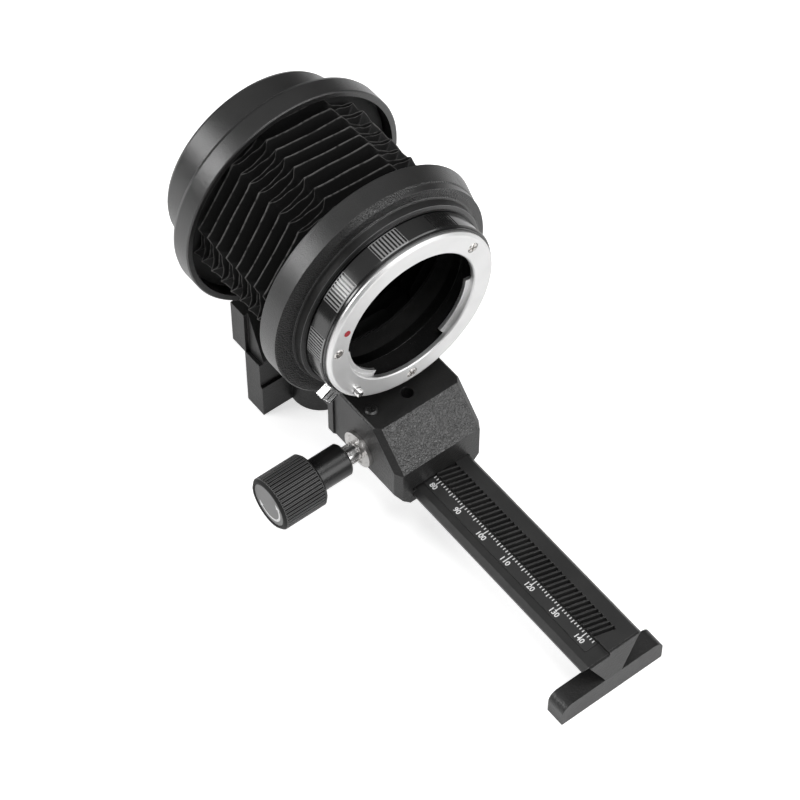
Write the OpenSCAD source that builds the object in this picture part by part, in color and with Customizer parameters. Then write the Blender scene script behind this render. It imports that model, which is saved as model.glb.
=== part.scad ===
// Macro bellows unit: a rack rail on two feet, a fixed rear standard, a focusing carriage
// with a front standard, and a pleated bellows between the two. All sizes in mm.
// X across, -Y towards the lens end, Z up; the origin is the tripod socket at table level.

/* [Position] */
// Scale reading at the front face of the carriage block
reading = 78; // [62:1:138]
// Y of the scale's zero, behind the tripod socket
scale_zero = 24; // [18:0.5:30]
// Height of the optical axis over the table
axis_h = 71.6; // [68:0.2:80]

/* [Rail] */
// Greatest width of the rail, at the jaws of the carriage
rail_w = 19; // [17:0.5:22]
// Height of the rail's underside over the table
rail_z = 12; // [10.5:0.5:14]
// Height of the rail from its underside to the scale ledge
rail_h = 5.2; // [4.6:0.1:7]
// Scale reading at the front end of the rail
rail_end = 148; // [144:1:170]
// How far the dovetail flank runs in towards the underside
dovetail = 2.4; // [1:0.1:3]
// Width of the bevel along the rail's upper edges
bevel = 1.7; // [0.8:0.1:2.2]
// Height of the rack bed over the scale ledge
bed_h = 1.3; // [0.8:0.1:2]
// X of the step between the scale ledge and the rack bed
bed_x = -1.3; // [-2:0.1:-0.6]
// Sliding gap between the rail and the carriage
slide_gap = 0.15; // [0.1:0.01:0.3]

/* [Scale strip] */
// Width of the scale strip
strip_w = 4.2; // [3:0.1:4.6]
// Thickness of the scale strip
strip_t = 0.25; // [0.15:0.05:0.4]
// First reading covered by the strip
strip_from = 28; // [26:1:60]
// Last reading covered by the strip
strip_to = 144; // [140:1:145]

/* [Feet] */
// Width of the front foot
foot_w = 33.8; // [28:0.5:40]
// Thickness of the front foot along the rail
foot_t = 5.8; // [4.5:0.1:8]
// Height of the front foot's bar
foot_h = 7.7; // [6:0.1:9]
// Radius of the front foot's upper ends
foot_r = 3; // [1.5:0.1:4]
// Width of the web where it meets the front foot
web_w = 5.6; // [4:0.2:10]
// How far the web's front face leans back up to the rail
web_lean = 1.6; // [0.5:0.1:3]
// How far the rail's end is cut back at its underside
rail_cut = 3.2; // [1:0.1:4]
// Width of the rear foot
rear_w = 37.6; // [32:0.5:42]
// Thickness of the rear foot along the rail
rear_t = 6.6; // [4.5:0.1:8]
// Y of the rear foot's front face
rear_y = 2; // [1:0.2:3]
// Height of the rear foot's upper edge over the table
rear_h = 21.4; // [20:0.1:24]
// Extra thickness of the rear foot below the rail
rear_step = 0.8; // [0.4:0.1:1.5]
// Diameter of the tripod boss
boss_d = 18; // [15:0.5:22]

/* [Tripod bush] */
// Bore of the threaded tripod bush
bush_bore = 5.2; // [5:0.1:6.4]
// Outside diameter of the tripod bush
bush_d = 9; // [8:0.1:11]
// Length of the tripod bush
bush_l = 8; // [5:0.5:10]

/* [Rear standard] */
// Thickness of the rear standard's upright
upright_t = 6; // [4:0.2:8]
// How far the upright stands behind the rear foot's front face
upright_back = 6.2; // [6:0.1:8]
// How far the buttress runs forward at its base
buttress = 6.6; // [3:0.2:7]
// Set-back of the buttress from the upright's ends
buttress_in = 1.2; // [0.6:0.1:3]

/* [Bellows rings] */
// Outside diameter of the two large rings
ring_d = 68.4; // [62:0.4:68.4]
// Wall of the large rings
ring_wall = 1.8; // [1.2:0.1:3]
// Length of the rear ring
rear_ring_l = 6.9; // [6:0.1:12]
// Thickness of the floor inside both rings
ring_floor = 2; // [1.5:0.1:3]
// Y of the rear ring's open rim
rear_rim_y = 9; // [7:0.1:11]
// Wall of the camera ring round the bayonet's flange
camera_wall = 1.6; // [1.2:0.1:3]
// Length of the camera ring
camera_l = 11.5; // [8:0.5:16]
// Radius of the light path through the rings
throat_r = 22.2; // [20.8:0.1:23]
// Thickness of the bellows' clamp rings
clamp_t = 1.2; // [0.8:0.1:1.6]
// Clear gap between a clamp ring and the cloth
cloth_gap = 0.3; // [0.1:0.05:0.5]

/* [Camera bayonet] */
// Diameter of the camera bayonet's flange
flange_d = 53; // [50:0.5:55]
// Thickness of the camera bayonet's flange
flange_t = 1.2; // [0.8:0.1:2]
// Radius of the bayonet's sleeve
sleeve_r = 20.8; // [20:0.1:21.4]
// Bore radius of the bayonet's sleeve
sleeve_bore = 19.2; // [18.5:0.1:19.6]
// Length of the sleeve behind the flange
sleeve_l = 3.2; // [3:0.1:6]
// Reach of the three bayonet claws beyond the sleeve
claw_reach = 1.3; // [0.8:0.1:2]
// Thickness of the three claws
claw_t = 1.1; // [0.8:0.1:1.6]
// Angle that each claw spans
claw_deg = 56; // [40:1:70]

/* [Front standard] */
// How far the front ring's rim lies behind the block's front face
front_rim = 31.7; // [31:0.1:32.5]
// Length of the front ring's cylindrical band
band_l = 7; // [5:0.1:9]
// Depth of the front ring's cup, to half way through its floor
cup_in = 4; // [3.8:0.1:6]
// Length of the cone from the band to the shoulder
cone_l = 1.4; // [0.8:0.1:3]
// Diameter of the front ring's shoulder
shoulder_d = 60.6; // [58:0.2:62]
// Length of the shoulder behind the grip
shoulder_l = 2.4; // [1.5:0.1:4]
// Diameter of the ribbed grip
grip_d = 54.8; // [53:0.2:56]
// Length of the ribbed grip
grip_l = 6; // [5:0.1:9]
// Wall of the grip and the front ring round the light path
grip_wall = 5.2; // [4.4:0.1:6]
// Number of rib groups round the grip
grip_groups = 10; // [6:1:12]
// Grooves in each rib group
grip_ribs = 9; // [4:1:10]
// Width of the foot under the front ring
pedestal_w = 22; // [16:0.5:25]
// Set-back of the foot under the front ring from the ring's rim
pedestal_back = 2; // [1:0.2:3]
// Height of the saddle pad under the rear ring
saddle_h = 2.4; // [1.5:0.1:3]

/* [Lens bayonet] */
// How far the dark ring behind the bayonet lies inside the grip's edge
spacer_in = 0.5; // [0.2:0.1:0.8]
// Thickness of the dark ring behind the lens bayonet
spacer_t = 0.6; // [0.4:0.1:1]
// How far the lens bayonet lies inside the grip's edge
bayonet_in = 0.95; // [0.5:0.05:1.5]
// Width of the lens bayonet's bright face
bayonet_w = 6.35; // [5.8:0.05:6.8]
// Thickness of the lens bayonet
bayonet_t = 1.4; // [1:0.1:2]
// How far the three lugs reach into the bayonet's bore
lug_in = 1.4; // [0.8:0.1:1.8]
// Thickness of the three lugs
lug_t = 1; // [0.6:0.1:1.4]
// Depth of the lugs behind the bayonet's face
lug_deep = 1.6; // [1.4:0.1:2.4]
// Angle that each lug spans
lug_deg = 52; // [40:1:64]
// How far the mount screws' circle lies inside the bayonet's edge
screw_in = 3.15; // [2.6:0.05:3.8]
// Head diameter of the mount screws
screw_d = 3.2; // [2.4:0.1:3.4]
// Diameter of the index dot
dot_d = 1.9; // [1.2:0.1:2.4]

/* [Lens release] */
// Diameter of the lock pin
pin_d = 2.2; // [1.6:0.1:2.6]
// How far the lock pin stands out of the bayonet
pin_out = 1.6; // [1:0.1:2]
// Travel of the release
release_travel = 1.8; // [1.2:0.1:2]
// Width of the release lever's tab
tab_w = 5.2; // [4:0.1:7]
// Thickness of the release lever's tab along the axis
tab_t = 2.6; // [2:0.1:3]
// How far the tab stands out over the grip
tab_out = 3.4; // [2:0.1:5]

/* [Carriage] */
// Width of the carriage block
block_w = 28.4; // [26:0.2:32]
// Length of the carriage block
block_l = 30.4; // [30:0.2:31]
// Height of the block's underside over the table
block_z = 12.9; // [12.6:0.1:13.2]
// Height of the block's upright front face
nose_h = 14.1; // [12:0.1:16]
// Length of the sloping front face
slope_l = 9.5; // [7:0.1:10]
// Chamfer along the block's upper edges
slope_edge = 0.5; // [0.3:0.1:1.4]
// Facet along both sides of the slope
slope_facet = 1.6; // [0.8:0.1:2.4]
// Facet on the nose's upright corners
nose_facet = 2.2; // [1:0.1:3]
// Chamfer along the block's lower edges
keel = 3.8; // [2.5:0.1:4]
// Thickness of the plate on the block's rear end
plate_t = 2.2; // [1.5:0.1:3]
// How far the end plate stands out round the block
plate_lip = 0.5; // [0.2:0.1:1]

/* [Focus drive] */
// Normal module of the rack and pinion
rack_m = 0.5; // [0.45:0.01:0.55]
// Teeth on the pinion
pinion_n = 17; // [16:1:18]
// Helix angle of the teeth
helix = 15; // [10:1:20]
// Thinning of the pinion's teeth for play
play = 0.14; // [0.08:0.01:0.2]
// Length of the rack grooves across the rail
groove_l = 6; // [5:0.1:7]
// Scale reading at the first groove
groove_from = 36; // [32:1:40]
// Scale reading at the last groove
groove_to = 143.6; // [138:0.2:144]
// Distance of the pinion's axis behind the block's front face
pinion_back = 17; // [15:0.1:18]
// Width of the pinion
pinion_w = 5.2; // [4:0.1:5.2]
// Diameter of the focus shaft
shaft_d = 5.6; // [5:0.1:6]
// Diameter of the shaft's inner journal
journal_d = 4; // [3:0.1:5]
// Running clearance of the shaft in its bearings
run = 0.05; // [0.02:0.01:0.08]
// Diameter of the bearing bush's flange
collar_d = 10.8; // [9.5:0.1:12]
// Thickness of the bearing bush's flange
collar_t = 1; // [0.8:0.1:2]
// Outside diameter of the bearing bush
bearing_d = 8.4; // [7.6:0.1:9]
// Length of shaft seen between the bush and the hub
shaft_gap = 4.5; // [1.5:0.1:8]
// Diameter of the knob's hub
hub_d = 9.5; // [8:0.1:11]
// Length of the knob's hub
hub_l = 10.6; // [6:0.1:14]
// Diameter of the focusing knob
knob_d = 15.6; // [13:0.1:20]
// Length of the focusing knob
knob_l = 14.1; // [10:0.1:18]
// Number of ribs round the knob
knob_ribs = 44; // [30:1:52]
// Diameter of the disc in the knob's end
disc_d = 12.6; // [10:0.1:12.8]

/* [Bellows] */
// Number of pleats
pleats = 9; // [6:1:12]
// Radius over the pleats' corners
cloth_r = 30; // [28:0.1:30.6]
// Depth of the pleats
pleat_deep = 5.6; // [4:0.1:6]
// Angle that each flat panel spans
panel_deg = 40; // [34:1:46]
// Depth of the folded cloth's wall
cloth_wall = 1.8; // [1.2:0.1:2]
// Turn of the folded section round the optical axis
cloth_turn = -4; // [-15:1:15]

/* [Hidden] */
$fn = 96;

// Levels of the rail
ledge_z = rail_z + rail_h;
bed_z = ledge_z + bed_h;
rail_y0 = rear_y;
rail_y1 = scale_zero - rail_end;
foot_y1 = rail_y1 - web_lean;

// Large rings and the tops that carry them
ring_r = ring_d / 2;
seat_z = axis_h - ring_r;
camera_d = flange_d + 2 * camera_wall;
plate_screw_z = seat_z - 7.4;
rear_back_y = rear_rim_y + rear_ring_l;
camera_back_y = rear_back_y + camera_l;

// Carriage, all from the block's front face
block_y = scale_zero - reading;
rim_y = block_y + front_rim;
cone_y = rim_y - band_l;
shoulder_y = cone_y - cone_l;
grip_y = shoulder_y - shoulder_l;
grip_front = grip_y - grip_l;
mount_y = grip_front - spacer_t;
face_y = mount_y - bayonet_t;

// Rack and pinion
trans_m = rack_m / cos(helix);
pitch_r = trans_m * pinion_n / 2;
tooth_pitch = PI * trans_m;
tip_r = pitch_r + rack_m;
root_r = pitch_r - 1.25 * rack_m;
pinion_y = block_y + pinion_back;
pinion_z = bed_z - rack_m + pitch_r;
pinion_x = bed_x + 0.3;
groove_x = bed_x + groove_l;
grooves = floor((groove_to - groove_from) / tooth_pitch);
bore_end = 10.5;

// Clearance of pieces that are seated in one another for good
seat_fit = 0.02;

// Turn that brings a pinion tooth into the nearest rack groove at rest
mesh_off = scale_zero - groove_to + (groove_x - pinion_x) * tan(helix) - pinion_y;
mesh_turn = (mesh_off - tooth_pitch * round(mesh_off / tooth_pitch)) / pitch_r * 180 / PI;

// Focus shaft's stations along X
wall_x = -block_w / 2;
screw_x = wall_x + 3.2;
collar_x = wall_x - collar_t;
hub_x = collar_x - shaft_gap;
knob_x = hub_x - hub_l;
cap_x = knob_x - knob_l;
disc_deep = 0.8;

// Bellows between the two clamp rings
cloth_y0 = rear_rim_y + rear_ring_l - ring_floor - clamp_t - cloth_gap;
cloth_y1 = rim_y - cup_in + ring_floor / 2 + clamp_t + cloth_gap;
pleat_l = (cloth_y0 - cloth_y1) / pleats;

// Lens end, from the grip's diameter inwards
grip_bore = grip_d / 2 - grip_wall;
spacer_d = grip_d - 2 * spacer_in;
bayonet_d = grip_d - 2 * bayonet_in;
bayonet_r = bayonet_d / 2 - bayonet_w;
lug_r = bayonet_r - lug_in;
screw_r = bayonet_d / 2 - screw_in;

// Angles round the optical axis, from +X towards +Z, seen from the front
screw_at = [173, 34, 270];
dot_at = 156;
pin_at = 223;
ribs_at = 98;
tab_at = 212;
pin_r = bayonet_d / 2 - 2.15;

// ---- helpers ----------------------------------------------------------

// A turned ring whose profile is [radius, distance forward of y]
module turned(y, profile) {
    translate([0, y, axis_h]) rotate([90, 0, 0]) rotate_extrude() polygon(profile);
}

// A cylinder along the optical axis, running forward from y
module drum(y, r, l) {
    translate([0, y, axis_h]) rotate([90, 0, 0]) cylinder(r = r, h = l);
}

// Children moved to a place round the optical axis; their +Z points forward
module round_axis(y, r, angle) {
    translate([0, y, axis_h]) rotate([90, 0, 0]) rotate([0, 0, angle])
        translate([r, 0, 0]) children();
}

// A round bar along X on the focus shaft's axis
module bar(x0, x1, d) {
    translate([x0, pinion_y, pinion_z]) rotate([0, 90, 0])
        cylinder(d = d, h = x1 - x0);
}

// Sector of a ring, as a flat outline
module sector(r0, r1, deg) {
    intersection() {
        difference() {
            circle(r = r1);
            circle(r = r0);
        }
        polygon([[0, 0], 2 * r1 * [cos(-deg / 2), sin(-deg / 2)], [2 * r1, 0],
                 2 * r1 * [cos(deg / 2), sin(deg / 2)]]);
    }
}

// Cross slot of a small screw head
module cross_slot(d) {
    for (a = [45, 135]) rotate([0, 0, a])
        translate([-d * 0.34, -d * 0.07, 0]) cube([d * 0.68, d * 0.14, d]);
}

// Pan-head screw, seated at z = 0 with its head upward
module pan_screw(d, head, shank) {
    difference() {
        union() {
            cylinder(d = d, h = head * 0.6);
            translate([0, 0, head * 0.6]) cylinder(d1 = d, d2 = d * 0.7, h = head * 0.4);
            translate([0, 0, -shank]) cylinder(d = d * 0.5, h = shank);
        }
        translate([0, 0, head * 0.45]) cross_slot(d);
    }
}

// ---- rail and feet ----------------------------------------------------

// Rail section, grown by g on the sides and the top
module rail_section(g) {
    h = rail_w / 2 + g;
    polygon([
        [-(h - dovetail), rail_z - g], [h - dovetail, rail_z - g],
        [h, bed_z - bevel / 2 - rail_h * 0.3], [h, bed_z - bevel / 2 + g],
        [h - bevel / 2, bed_z + g], [bed_x - g, bed_z + g],
        [bed_x - g, ledge_z + g], [-(h - bevel), ledge_z + g],
        [-h, ledge_z - bevel / 2 + g], [-h, ledge_z - rail_h * 0.3]
    ]);
}

// One rack groove, cut across the bed at the helix angle
module groove() {
    w = PI * rack_m / 2;
    t = tan(20);
    translate([groove_x, 0, bed_z]) rotate([0, 0, -helix]) {
        rotate([90, 0, -90]) linear_extrude(groove_l * 1.3)
            polygon([[-w / 2 - rack_m * t * 1.4, rack_m * 0.4],
                     [w / 2 + rack_m * t * 1.4, rack_m * 0.4],
                     [w / 2 - rack_m * t * 1.3, -2.3 * rack_m],
                     [-w / 2 + rack_m * t * 1.3, -2.3 * rack_m]]);
    }
}

module rail_bar() {
    color("#2a2a2c") difference() {
        translate([0, rail_y0, 0]) rotate([90, 0, 0])
            linear_extrude(rail_y0 - rail_y1) rail_section(0);
        translate([-rail_w, 0, 0]) rotate([90, 0, 90]) linear_extrude(rail_w * 2)
            polygon([[rail_y1, ledge_z - 0.6], [rail_y1 - 1, ledge_z - 0.6], [rail_y1 - 1, rail_z - 1],
                     [rail_y1 + rail_cut, rail_z - 1], [rail_y1 + rail_cut, rail_z]]);
        intersection() {
            for (i = [0 : grooves])
                translate([0, scale_zero - groove_to + i * tooth_pitch, 0]) groove();
            translate([bed_x - 1, rail_y1, ledge_z]) cube([rail_w, rail_end, rail_h]);
        }
    }
}

// Front foot: a bar across the table and a tapering web up to the rail's end
module front_foot() {
    under = rail_z;
    color("#262628") union() {
        translate([0, foot_y1 + foot_t, 0]) rotate([90, 0, 0]) linear_extrude(foot_t)
            difference() {
                translate([-foot_w / 2, 0]) square([foot_w, foot_h]);
                for (s = [-1, 1]) translate([s * (foot_w / 2 - foot_r), foot_h - foot_r])
                    difference() {
                        translate([s > 0 ? 0 : -foot_r * 2, 0]) square(foot_r * 2);
                        circle(r = foot_r);
                    }
            }
        difference() {
            intersection() {
                translate([0, rail_y1 + foot_t + web_lean, 0]) rotate([90, 0, 0])
                    linear_extrude(foot_t + web_lean * 3)
                    polygon([[-web_w / 2, foot_h - 0.5], [web_w / 2, foot_h - 0.5],
                             [web_w / 2, foot_h + 0.3], [rail_w / 2 - bevel / 2, bed_z],
                             [bed_x, bed_z], [bed_x, ledge_z],
                             [-(rail_w / 2 - bevel), ledge_z], [-web_w / 2, foot_h + 0.3]]);
                translate([-rail_w, 0, 0]) rotate([90, 0, 90]) linear_extrude(rail_w * 2)
                    polygon([[foot_y1, 0], [foot_y1, foot_h], [rail_y1 - 0.7, bed_z],
                             [rail_y1 + foot_t, bed_z], [rail_y1 + foot_t, under],
                             [foot_y1 + foot_t, foot_h - 2], [foot_y1 + foot_t, 0]]);
            }
            translate([-rail_w, 0, 0]) rotate([90, 0, 90]) linear_extrude(rail_w * 2)
                polygon([[rail_y1, bed_z + 1], [rail_y1, ledge_z - 0.6], [rail_y1 + rail_cut, rail_z],
                         [rail_y1 + foot_t * 3, rail_z], [rail_y1 + foot_t * 3, bed_z + 1]]);
        }
    }
}

// Rear foot and tripod boss, one casting under the rail's rear end
module rear_base() {
    color("#262628") difference() {
        union() {
            translate([-rear_w / 2, rear_y, 0]) cube([rear_w, rear_t, rear_h]);
            translate([-rear_w / 2, rear_y - rear_step, 0]) cube([rear_w, rear_step, rail_z]);
            cylinder(d = boss_d, h = rail_z);
        }
        translate([0, 0, -1]) cylinder(d = bush_d, h = bush_l + 1);
    }
}

module tripod_bush() {
    color("#b9b9b4") difference() {
        cylinder(d = bush_d, h = bush_l);
        translate([0, 0, -1]) cylinder(d = bush_bore, h = bush_l + 2);
    }
}

module scale_strip() {
    color("#0e0e0f") translate([bed_x - strip_w - 0.1, scale_zero - strip_to, ledge_z])
        cube([strip_w, strip_to - strip_from, strip_t]);
}

// ---- rear standard ----------------------------------------------------

// Upright plate with a sloping buttress, and a saddle under the rear ring
module rear_standard() {
    y0 = rear_y + upright_back;
    color("#28282a") difference() {
        union() {
            translate([-rear_w / 2, y0, rear_h]) cube([rear_w, upright_t, seat_z - rear_h]);
            translate([-rear_w / 2 + buttress_in, 0, 0]) rotate([90, 0, 90])
                linear_extrude(rear_w - 2 * buttress_in)
                polygon([[y0, rear_h], [y0, seat_z], [y0 - 0.6, seat_z],
                         [y0 - buttress, rear_h + 1.2], [y0 - buttress, rear_h]]);
            translate([-pedestal_w / 2, y0 + 0.4, seat_z - 1])
                cube([pedestal_w, rear_ring_l - 1.4, 1 + saddle_h]);
        }
        drum(rear_back_y + 5, ring_r + seat_fit, rear_ring_l + 12);
    }
}

module standard_screws() {
    color("#8c8c88") for (s = [-1, 1])
        translate([s * rear_w * 0.36, rear_y + upright_back + upright_t / 2 + 1.4, rear_h - 0.02])
            rotate([180, 0, 0]) pan_screw(3.4, 1.2, 0.01);
}

// Rear ring: a shallow cup, open towards the cloth
module rear_ring() {
    l = rear_ring_l;
    color("#3a3a3c") turned(rear_back_y, [
        [throat_r, 0], [ring_r - 1.4, 0], [ring_r - 0.3, 0.5], [ring_r, 1.4],
        [ring_r, l - 0.3], [ring_r - 0.3, l], [ring_r - ring_wall, l],
        [ring_r - ring_wall, ring_floor], [throat_r, ring_floor]
    ]);
}

// Ring that clamps the cloth's hem to a ring's floor
module hem_clamp(y) {
    turned(y, [[throat_r + 1, 0], [ring_r - ring_wall - 0.4, 0],
               [ring_r - ring_wall - 0.4, clamp_t], [throat_r + 1, clamp_t]]);
}

module rear_clamp() {
    color("#1c1c1d") hem_clamp(rear_back_y - ring_floor);
}

// Camera ring: a smooth sleeve that carries the camera bayonet
module camera_ring() {
    r = camera_d / 2;
    color("#3c3c3e") turned(camera_back_y, [
        [flange_d / 2 + seat_fit, 0], [r - 1.2, 0], [r - 0.4, 0.4], [r, 1.2],
        [r, camera_l], [throat_r, camera_l], [throat_r, flange_t],
        [flange_d / 2 + seat_fit, flange_t]
    ]);
}

// Camera bayonet: flange, sleeve and three claws
module camera_bayonet() {
    y = camera_back_y;
    color("#c9c9c6") difference() {
        union() {
            turned(y, [[sleeve_bore, 0], [flange_d / 2 - 0.4, 0],
                       [flange_d / 2, 0.4], [flange_d / 2, flange_t],
                       [sleeve_bore, flange_t]]);
            drum(y + sleeve_l, sleeve_r, sleeve_l);
            for (a = [90, 210, 330])
                translate([0, y + sleeve_l, axis_h]) rotate([90, 0, 0])
                    rotate([0, 0, a]) linear_extrude(claw_t)
                    sector(sleeve_r - 0.5, sleeve_r + claw_reach, claw_deg);
        }
        drum(y + sleeve_l + 1, sleeve_bore, sleeve_l + flange_t + 2);
        for (a = [30, 150, 270]) round_axis(y + 0.01, flange_d / 2 - 2.1, a)
            cylinder(d1 = 2.6, d2 = 1.4, h = flange_t);
    }
}

module camera_screws() {
    color("#a8a8a4") for (a = [30, 150, 270])
        round_axis(camera_back_y, flange_d / 2 - 2.1, a) difference() {
            cylinder(d1 = 2.5, d2 = 1.3, h = flange_t - 0.05);
            translate([0, 0, -1.6]) cross_slot(2.4);
        }
}

// ---- carriage ---------------------------------------------------------

// Side outline of the block, drawn in the Y-Z plane
module block_side() {
    polygon([[block_y, block_z], [block_y, block_z + nose_h],
             [block_y + slope_l, seat_z], [block_y + block_l - plate_t, seat_z],
             [block_y + block_l - plate_t, block_z]]);
}

// Front outline of the block, with chamfered keel edges
module block_front(lip) {
    h = block_w / 2 + lip;
    polygon([[-h + keel, block_z], [h - keel, block_z], [h, block_z + keel + 0.6],
             [h, seat_z - slope_edge], [h - slope_edge, seat_z],
             [-h + slope_edge, seat_z], [-h, seat_z - slope_edge],
             [-h, block_z + keel + 0.6]]);
}

// Tunnel for the rail, a sliding gap larger than its section
module rail_tunnel() {
    translate([0, block_y + block_l + 1, 0]) rotate([90, 0, 0])
        linear_extrude(block_l + 2) union() {
            rail_section(slide_gap);
            translate([-rail_w / 2 - slide_gap, ledge_z])
                square([rail_w / 2, bed_z - ledge_z + slide_gap + 0.2]);
        }
}

module carriage_block() {
    color("#2c2c2e") difference() {
        intersection() {
            translate([-block_w, 0, 0]) rotate([90, 0, 90]) linear_extrude(block_w * 2)
                block_side();
            translate([0, block_y + block_l, 0]) rotate([90, 0, 0])
                linear_extrude(block_l + 1) block_front(0);
            slope_trim();
            slope_sides();
        }
        rail_tunnel();
        bar(-block_w, pinion_x - 0.4, bearing_d + 2 * seat_fit);
        bar(pinion_x - 0.5, pinion_x + pinion_w + 0.5, 2 * tip_r + 1);
        translate([pinion_x - 0.5, pinion_y - tip_r, bed_z - 0.5])
            cube([pinion_w + 1, 2 * tip_r, pinion_z - bed_z + 0.5]);
        bar(pinion_x, bore_end, journal_d + 2 * run);
        // Sockets in the top face, ahead of the front standard
        translate([0, block_y + 15, seat_z - 5]) cylinder(d = 3.6, h = 6);
        translate([screw_x, block_y + 16, seat_z - 4]) cylinder(d = 1.9, h = 5);
    }
}

// Outline from above, with the nose's upright corners taken off
module slope_trim() {
    h = block_w / 2;
    e = nose_facet;
    linear_extrude(seat_z + 1)
        polygon([[-h, block_y + block_l], [-h, block_y + e], [-h + e * 0.6, block_y],
                 [h - e * 0.6, block_y], [h, block_y + e], [h, block_y + block_l]]);
}

// Prism along the slope that takes off the slope's two side edges
module slope_sides() {
    h = block_w / 2;
    f = slope_facet;
    nose_z = block_z + nose_h;
    translate([0, block_y, nose_z]) rotate([atan2(seat_z - nose_z, slope_l), 0, 0])
        translate([0, 80, 0]) rotate([90, 0, 0]) linear_extrude(160)
        polygon([[-h, -60], [h, -60], [h, -f], [h - f, 0], [-h + f, 0], [-h, -f]]);
}

// Plate screwed to the block's rear end
module end_plate() {
    color("#1f1f20") difference() {
        translate([0, block_y + block_l, 0]) rotate([90, 0, 0])
            linear_extrude(plate_t) block_front(plate_lip);
        rail_tunnel();
        for (s = [-1, 1]) translate([s * block_w * 0.36, block_y + block_l + 0.01, plate_screw_z])
            rotate([90, 0, 0]) cylinder(d = 2.2, h = plate_t + 1);
    }
}

module plate_screws() {
    color("#8c8c88") for (s = [-1, 1])
        translate([s * block_w * 0.36, block_y + block_l, plate_screw_z])
            rotate([-90, 0, 0]) pan_screw(3.4, 1.1, plate_t - 0.1);
}

module top_screw() {
    color("#4a4a4a") translate([screw_x, block_y + 16, seat_z])
        pan_screw(3.5, 0.9, 3.4);
}

// Bearing bush with the bright flange on the block's side
module bearing_bush() {
    color("#c8c4b8") difference() {
        union() {
            bar(collar_x, wall_x, collar_d);
            bar(collar_x + 0.2, pinion_x - 0.5, bearing_d);
        }
        bar(collar_x - 1, pinion_x, shaft_d + 2 * run);
        translate([collar_x - 0.01, pinion_y, pinion_z]) rotate([0, 90, 0])
            cylinder(d1 = collar_d - 1.8, d2 = collar_d - 2.6, h = 0.4);
        for (a = [35, 215])
            translate([collar_x - 0.1, pinion_y, pinion_z]) rotate([a, 0, 0])
                translate([0, 0, collar_d * 0.38]) rotate([0, 90, 0]) cylinder(d = 0.9, h = 1);
    }
}

// Small cap on the far side of the block
module shaft_cap() {
    color("#1c1c1d") translate([block_w / 2, block_y + 8.4, 28.6]) rotate([0, 90, 0]) {
        cylinder(d = 3, h = 0.3);
        translate([0, 0, 0.3]) cylinder(d1 = 3, d2 = 2, h = 0.3);
    }
}

// ---- front standard ---------------------------------------------------

// Front ring: cup, cone and shoulder, on a foot that stands on the block
module front_ring() {
    rs = shoulder_d / 2;
    rg = grip_d / 2;
    l = rim_y - grip_y;
    color("#3a3a3c") union() {
        turned(rim_y, [
            [ring_r - ring_wall, 0], [ring_r - 0.3, 0], [ring_r, 0.3],
            [ring_r, band_l - 0.4], [ring_r - 0.35, band_l],
            [rs, band_l + cone_l - 0.3], [rs - 0.5, band_l + cone_l],
            [rg + 1.4, l - 0.7], [rg + 0.4, l - 0.3], [rg + 0.4, l], [grip_bore, l],
            [grip_bore, cup_in - ring_floor / 2],
            [ring_r - ring_wall, cup_in - ring_floor / 2]
        ]);
        difference() {
            translate([-pedestal_w / 2, grip_y + 0.2, seat_z])
                cube([pedestal_w, rim_y - pedestal_back - grip_y - 0.2, shoulder_d / 4]);
            drum(rim_y + 1, grip_bore + 1, 30);
            drum(rim_y + 1, ring_r - ring_wall, cup_in + 1);
        }
    }
}

module front_clamp() {
    color("#1c1c1d") hem_clamp(rim_y - cup_in + ring_floor / 2 + clamp_t);
}

// Grip: a short barrel with groups of ribs and a window for the release
module grip_ring() {
    r = grip_d / 2;
    step = 2.05;
    color("#161617") difference() {
        turned(grip_y, [[grip_bore, 0], [r - 0.3, 0], [r, 0.3], [r, grip_l - 0.3],
                        [r - 0.3, grip_l], [grip_bore, grip_l]]);
        for (g = [0 : grip_groups - 1], i = [0 : grip_ribs - 1])
            translate([0, grip_y, axis_h]) rotate([90, 0, 0])
                rotate([0, 0, ribs_at + g * 360 / grip_groups + (i - (grip_ribs - 1) / 2) * step])
                translate([r - 0.4, -0.27, 0.4]) cube([1, 0.54, grip_l - 0.8]);
        release_window();
    }
}

// Room for the release lever and the lock pin to move back
module release_window() {
    translate([0, grip_front - 0.01, axis_h]) rotate([90, 0, 0])
        translate([0, 0, -tab_t - release_travel - 0.6]) {
            rotate([0, 0, tab_at]) translate([grip_bore + 0.5, -tab_w / 2 - 0.3, 0])
                cube([grip_d, tab_w + 0.6, tab_t + release_travel + 1]);
            rotate([0, 0, pin_at]) translate([grip_bore + 0.5, -pin_d / 2 - 0.9, 0])
                cube([pin_r + pin_d / 2 - grip_bore, pin_d + 1.8, tab_t + release_travel + 1]);
        }
}

// Thin dark ring between the grip and the bayonet
module spacer_ring() {
    color("#0c0c0d") difference() {
        turned(grip_front, [[bayonet_r + 0.8, 0], [spacer_d / 2, 0],
                            [spacer_d / 2, spacer_t], [bayonet_r + 0.8, spacer_t]]);
        round_axis(grip_front + 1, pin_r, pin_at) cylinder(d = pin_d + 0.4, h = 4);
    }
}

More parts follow.
